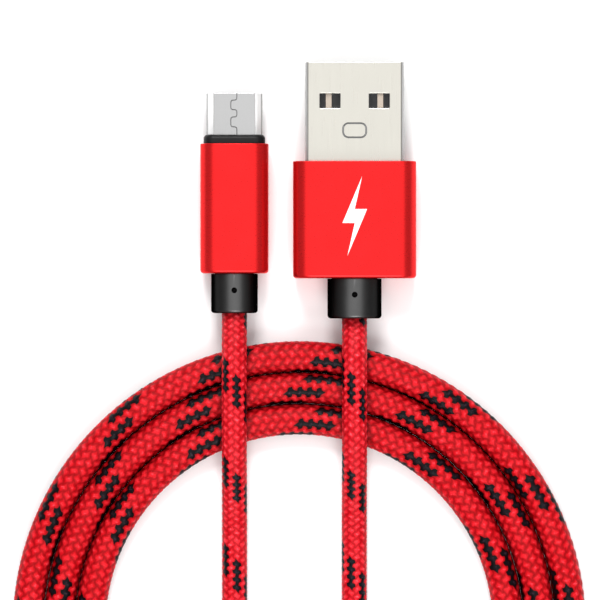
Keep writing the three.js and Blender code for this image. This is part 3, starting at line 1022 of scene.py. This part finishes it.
def micro_section(plug, inset):
    """Micro-B outline: full width below the knee, drawn in to the narrow top face."""
    half = plug.shell_size[0] / 2 - inset
    top = M_NARROW / 2 - 0.6 * inset
    high = plug.shell_size[2] / 2 - inset
    corners = [(half, -high), (half, M_KNEE), (top, high), (-top, high), (-half, M_KNEE), (-half, -high)]
    low_cut, knee_cut, top_cut = 0.3 * MM - inset / 2, 0.32 * MM - inset / 2, 0.36 * MM - inset / 2
    return filleted(corners, (low_cut, knee_cut, top_cut, top_cut, knee_cut, low_cut))


def micro_shell(plug, material, painted_flank, painted_fold, groove):
    """Folded steel shell with an interlocked seam on the narrow face and two latch slots below."""
    lip = 0.06 * MM
    loops = [at(micro_section(plug, 0), plug.centre, plug.shell_back)]
    loops += [at(micro_section(plug, lip * side), plug.centre, plug.tip - lip * drop)
              for side, drop in arc_steps(3)]
    loops += [at(micro_section(plug, M_WALL - lip * side), plug.centre, plug.tip - lip * drop)
              for side, drop in reversed(arc_steps(3))]
    loops.append(at(micro_section(plug, M_WALL), plug.centre, plug.shell_back))
    shell = loft("micro_b_shell_sheet", loops, material, closed=True)
    line, lobe = M_SEAM_X
    corners = [(line, M_SEAM_ENDS[0])]
    for top, bottom in M_SEAM_LOBES:
        corners += [(line, top), (lobe, top + 0.04), (lobe, bottom - 0.04), (line, bottom)]
    corners.append((line, M_SEAM_ENDS[1]))
    half = plug.shell_size[2] / 2
    seam = seam_line(corners, 0.35, (plug.centre[0], 0), plug.centre[1] + half)
    cutters = [rope("seam", seam, 0.06 * MM, 0.15 * MM, False, groove)]
    for side in (-1, 1):
        place = (plug.centre[0] + side * M_SLOT_PLACE[0], M_SLOT_PLACE[1])
        outline = rounded_section(*M_SLOT, 0.12 * MM, 4, 1)
        cutters.append(loft("slot", [flat_at(outline, place, plug.centre[1] + z)
                                     for z in (-half - 0.2 * MM, -half + 0.4 * MM)],
                            None, caps=True))
    cut_away(shell, *cutters)
    # painted light: the flanks get a near-white matt material and the folds a grey one, standing in for
    # what they reflect
    paint_light_by_lean(shell, 0.22, 0.81, painted_flank)
    paint_light_by_lean(shell, 0.81, 0.985, painted_fold)
    soften(shell, 35)
    put(shell, plug, "shell_steel", "micro_b_shell")


def front_ring(plug, material):
    """Black ring around the shell, with a rounded front edge and a lip inside the housing."""
    low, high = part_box("micro_b_front_ring")
    width, height, corner, fillet = 7.5 * MM, 5.6 * MM, 1.2 * MM, 0.5 * MM
    lip_width = plug.width - 2 * plug.wall[0] - 2 * GAP
    start = plug.front + GAP

    def section(inset, y):
        return at(rounded_section(width - 2 * inset, height - 2 * inset, corner - inset), plug.centre, y)

    def lip(y):
        return at(rounded_section(lip_width, height - 0.1 * MM, corner), plug.centre, y)

    loops = [lip(low[1]), lip(start), section(0, start)]
    loops += [section(fillet * side, high[1] - fillet * drop) for side, drop in arc_steps(7)]
    ring = loft("micro_b_ring", loops, material, caps=True)
    hole = [at(micro_section(plug, -GAP), plug.centre, y) for y in (low[1] - MM, high[1] + MM)]
    cut_away(ring, loft("hole", hole, None, caps=True))
    soften(ring)
    put(ring, plug, "black_plastic", "micro_b_front_ring")


# ---- run ------------------------------------------------------------------------

make_camera()
make_light()
make_floor(floor_white())

# The first colour is painted valley shade and the last a painted glint; the fourth is both a lighter yarn
# tone and the painted highlight on the crowns.
YARN_RED = braid_yarn(
    "yarn_red", (0.26, 0.0, 0.002), (0.46, 0.001, 0.005), (0.64, 0.007, 0.016),
    (0.84, 0.030, 0.044), (1.0, 0.13, 0.17), 0.42, 0.08)
YARN_BLACK = braid_yarn(
    "yarn_black", (0.001, 0.001, 0.001), (0.002, 0.002, 0.003), (0.003, 0.003, 0.005),
    (0.008, 0.008, 0.012), (0.05, 0.05, 0.07), 0.36, 0.1)
place_cord(make_cord(YARN_RED, YARN_BLACK))

MATERIALS = {
    "shell_steel": plated_steel("shell_steel", (0.545, 0.53, 0.48), 0.3),
    "red_anodised": anodised_red(),
    "black_rubber": black_satin_painted_side_shade("black_rubber", 0.088, 0.38, 6000, 3e-6),
    "black_plastic": black_soft("black_plastic", 0.006, 0.42, 4000, 3e-6, 0.2),
    "grey_plastic": black_soft("grey_plastic", 0.09, 0.5, 4000, 3e-6),
    "white_ink": printed_white(),
    "gold_contact": gold_plate(),
    "wire_red": wire_plastic("red", (0.55, 0.02, 0.02)),
    "wire_white": wire_plastic("white", (0.80, 0.80, 0.78)),
    "wire_green": wire_plastic("green", (0.02, 0.28, 0.07)),
    "wire_black": wire_plastic("black", (0.02, 0.02, 0.022)),
    "braided_cord": YARN_RED,
}
MICRO_STEEL = plated_steel("micro_steel", (0.44, 0.44, 0.44), 0.22)
# painted light: a near-white matt material for the micro-B flanks, standing in for the bright floor they
# reflect
FLANK_PAINTED_LIGHT = painted_tone_steel("flank_painted_light", 0.9)
# painted reflection: a grey matt material for the shells' bends, standing in for the light they reflect
FOLD_PAINTED_REFLECTION = painted_tone_steel("fold_painted_reflection", 0.42)
# painted shade: a dark matt material the oval and seam cutters leave at the bottom of their grooves
GROOVE_PAINTED_SHADE = painted_tone_steel("groove", 0.24)
# painted shade: a near-black material inside the gate dimple, darker than the collar round it
GATE_PAINTED_SHADE = black_soft("gate_painted_shade", 0.002, 0.6, 4000, 2e-6, 0.02)

SOFT_EDGED = ("usb_a_tongue", "micro_b_insulator", "contact", "latch", "ferrule")
for part in frame["record"]["subparts"]:
    node = frame["nodes"][part["node"]]
    node.data.materials.clear()
    node.data.materials.append(MATERIALS[part["material_slot"]])
    if any(word in part["node"] for word in SOFT_EDGED):
        edge = node.modifiers.new("edge", "BEVEL")
        edge.width = 0.03 * MM
        edge.segments = 2
        edge.limit_method = "ANGLE"

USB_A = Plug("usb_a", (0.8 * MM, 0.8 * MM), 2.8 * MM, 2.9 * MM)
MICRO_B = Plug("micro_b", (0.45 * MM, 0.55 * MM), 2.35 * MM, 2.6 * MM)
for plug in (USB_A, MICRO_B):
    housing(plug, MATERIALS["red_anodised"])
strain_relief(USB_A, MATERIALS["black_rubber"], -12.7 * MM, GATE_PAINTED_SHADE)
strain_relief(MICRO_B, MATERIALS["black_rubber"], -12.17 * MM, GATE_PAINTED_SHADE)
usb_a_shell(USB_A, MATERIALS["shell_steel"], FOLD_PAINTED_REFLECTION, GROOVE_PAINTED_SHADE)
micro_shell(MICRO_B, MICRO_STEEL, FLANK_PAINTED_LIGHT, FOLD_PAINTED_REFLECTION, GROOVE_PAINTED_SHADE)
front_ring(MICRO_B, MATERIALS["black_plastic"])
